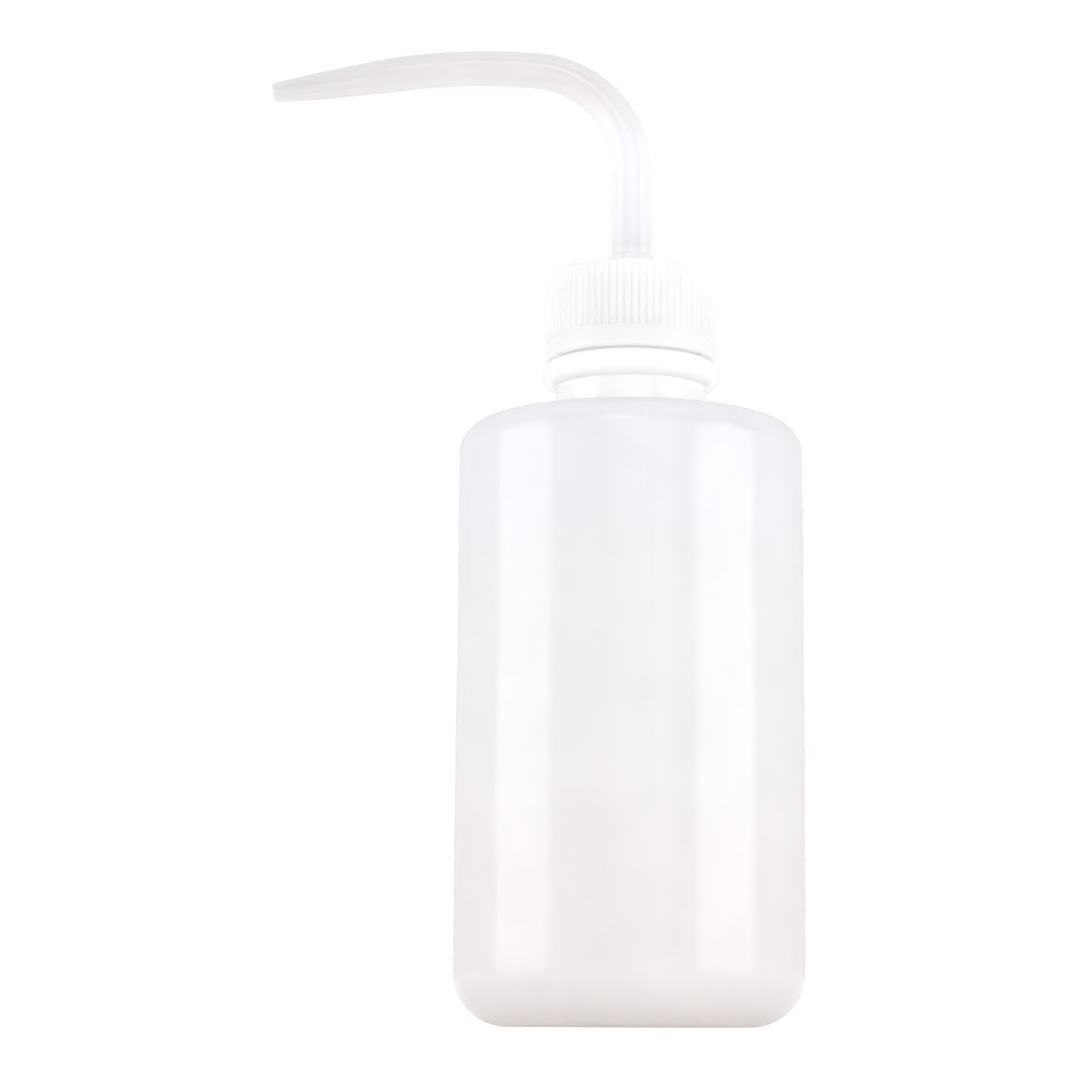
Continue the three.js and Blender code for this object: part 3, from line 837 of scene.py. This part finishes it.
def spout_material():
    """White at the thick collar, in the neck's white with its painted light; greyer along the shaft, and
    darker still towards the tip as painted shade.
    """
    shaft = [(139.4, SPOUT_FOOT), (158, SPOUT_FOOT), (170, SPOUT_WHITE), (177, SPOUT_WHITE)]
    return milky(
        "spout_polyethylene",
        [(138.6, NECK_WHITE_AND_LIGHT)] + shaft,
        roughness=0.12,
        clear=0.18,
        # Painted shade darkening the spout towards its tip
        shade_along_x=(-30, -60, 0.94),
    )


def tube_material():
    return milky("tube_polyethylene", [(4, TUBE_WHITE), (132, TUBE_WHITE)], clear=0.25, roughness=0.3)


# ---------------------------------------------------------------- pieces on their bodies

def place(piece, material, body, node=None):
    piece.data.materials.append(material)
    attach(piece, body)
    if node:
        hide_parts(node)


ldpe = bottle_material()
place(bottle_piece(), ldpe, "bottle", "bottle")
place(scale_numbers(), ldpe, "bottle")
place(cap_piece(), cap_material(), "cap", "screw_cap")
place(plug_piece(), plug_material(), "closure", "seal_plug")
place(spout_piece(), spout_material(), "nozzle", "spout")
place(tube_piece(), tube_material(), "nozzle", "dip_tube")


# ---------------------------------------------------------------- stage, light and camera, in metres

FLOOR_HALF = 6.0
FLOOR_GLOW = 0.365
BACKDROP = 1.3
BACK_LIGHT = 1.13
FRONT_LIGHT = 0.78
TOP_LIGHT = 1.75
BACK_RANGE = (-0.05, 0.35)
TOP_RANGE = (0.55, 0.95)

# Name, azimuth, elevation, distance, width, height and glow. Azimuth 0 is the camera's side, 90 its right.
SOFTBOXES = [
    ("left_softbox", -73.5, 6.0, 0.75, 0.58, 0.30, 2.15),
    ("right_softbox", 65, 6.0, 0.75, 0.60, 0.30, 2.3),
    ("front_fill", 9, 14, 0.9, 0.62, 0.5, 0.66),
    ("left_upper", -69, 25.3, 0.75, 0.30, 0.17, 1.65),
    ("right_upper", 64, 25.3, 0.75, 0.18, 0.17, 2.145),
    ("front_strip", -7, 33, 0.85, 0.26, 0.22, 3.0),
]
AIM = Vector((0, 0, 0.07))

CAMERA_PLACE = (0, -0.520, 0.0027)
CAMERA_PITCH = 9.1
CAMERA_ROLL = 0.2
CAMERA_LENS = 98.1
CAMERA_SENSOR = 36
CAMERA_SHIFT = -0.0838
CAMERA_NEAR = 0.01
CAMERA_FAR = 50


def add_floor():
    half = FLOOR_HALF
    corners = [(-half, -half, 0), (half, -half, 0), (half, half, 0), (-half, half, 0)]
    floor = mesh_object("floor", corners, [(0, 1, 2, 3)])
    material = bpy.data.materials.new("pale_floor")
    material.use_nodes = True
    shader = material.node_tree.nodes["Principled BSDF"]
    shader.inputs["Base Color"].default_value = (0.93, 0.93, 0.93, 1)
    shader.inputs["Roughness"].default_value = 0.9
    shader.inputs["Specular IOR Level"].default_value = 0.1
    shader.inputs["Emission Color"].default_value = (1, 1, 1, 1)
    shader.inputs["Emission Strength"].default_value = FLOOR_GLOW
    floor.data.materials.append(material)


def eased(nodes, links, value, low, high):
    """A smooth rise from 0 to 1, or between the values set on it, as value goes from low to high."""
    node = nodes.new("ShaderNodeMapRange")
    node.interpolation_type = "SMOOTHSTEP"
    node.inputs["From Min"].default_value = low
    node.inputs["From Max"].default_value = high
    links.new(value, node.inputs["Value"])
    return node


def add_world():
    """A white cyclorama: bright behind the object, dimmer on the camera's side, brightest overhead."""
    world = bpy.data.worlds.new("studio")
    world.use_nodes = True
    nodes = world.node_tree.nodes
    links = world.node_tree.links
    nodes.clear()
    output = nodes.new("ShaderNodeOutputWorld")
    seen = nodes.new("ShaderNodeBackground")
    seen.inputs["Strength"].default_value = BACKDROP
    lit = nodes.new("ShaderNodeBackground")
    coords = nodes.new("ShaderNodeTexCoord")
    separate = nodes.new("ShaderNodeSeparateXYZ")
    links.new(coords.outputs["Generated"], separate.inputs["Vector"])
    around = eased(nodes, links, separate.outputs["Y"], *BACK_RANGE)
    around.inputs["To Min"].default_value = FRONT_LIGHT
    around.inputs["To Max"].default_value = BACK_LIGHT
    above = eased(nodes, links, separate.outputs["Z"], *TOP_RANGE)
    sky = nodes.new("ShaderNodeMix")
    sky.inputs["B"].default_value = TOP_LIGHT
    links.new(above.outputs["Result"], sky.inputs["Factor"])
    links.new(around.outputs["Result"], sky.inputs["A"])
    links.new(sky.outputs["Result"], lit.inputs["Strength"])
    path = nodes.new("ShaderNodeLightPath")
    mix = nodes.new("ShaderNodeMixShader")
    links.new(path.outputs["Is Camera Ray"], mix.inputs["Fac"])
    links.new(lit.outputs["Background"], mix.inputs[1])
    links.new(seen.outputs["Background"], mix.inputs[2])
    links.new(mix.outputs["Shader"], output.inputs["Surface"])
    bpy.context.scene.world = world


def add_softbox(name, azimuth, elevation, distance, width, height, glow):
    """A rectangular light of even glow, turned to face AIM."""
    light = bpy.data.lights.new(name, "AREA")
    light.shape = "RECTANGLE"
    light.size = width
    light.size_y = height
    light.energy = glow * math.pi * width * height
    a = math.radians(azimuth)
    e = math.radians(elevation)
    away = Vector((math.sin(a) * math.cos(e), -math.cos(a) * math.cos(e), math.sin(e)))
    lamp = bpy.data.objects.new(name, light)
    lamp.location = AIM + away * distance
    lamp.rotation_mode = "QUATERNION"
    lamp.rotation_quaternion = away.to_track_quat("Z", "Y")
    bpy.context.scene.collection.objects.link(lamp)


def add_camera():
    camera = bpy.data.cameras.new("camera")
    camera.sensor_width = CAMERA_SENSOR
    camera.lens = CAMERA_LENS
    camera.clip_start = CAMERA_NEAR
    camera.clip_end = CAMERA_FAR
    camera.shift_x = CAMERA_SHIFT
    view = bpy.data.objects.new("camera", camera)
    view.location = CAMERA_PLACE
    view.rotation_mode = "QUATERNION"
    upright = Matrix.Rotation(math.pi / 2 + math.radians(CAMERA_PITCH), 4, "X")
    turn = upright @ Matrix.Rotation(math.radians(CAMERA_ROLL), 4, "Z")
    view.rotation_quaternion = turn.to_quaternion()
    bpy.context.scene.collection.objects.link(view)
    bpy.context.scene.camera = view


add_floor()
add_world()
for softbox in SOFTBOXES:
    add_softbox(*softbox)
add_camera()
bpy.context.scene.view_settings.view_transform = "Standard"
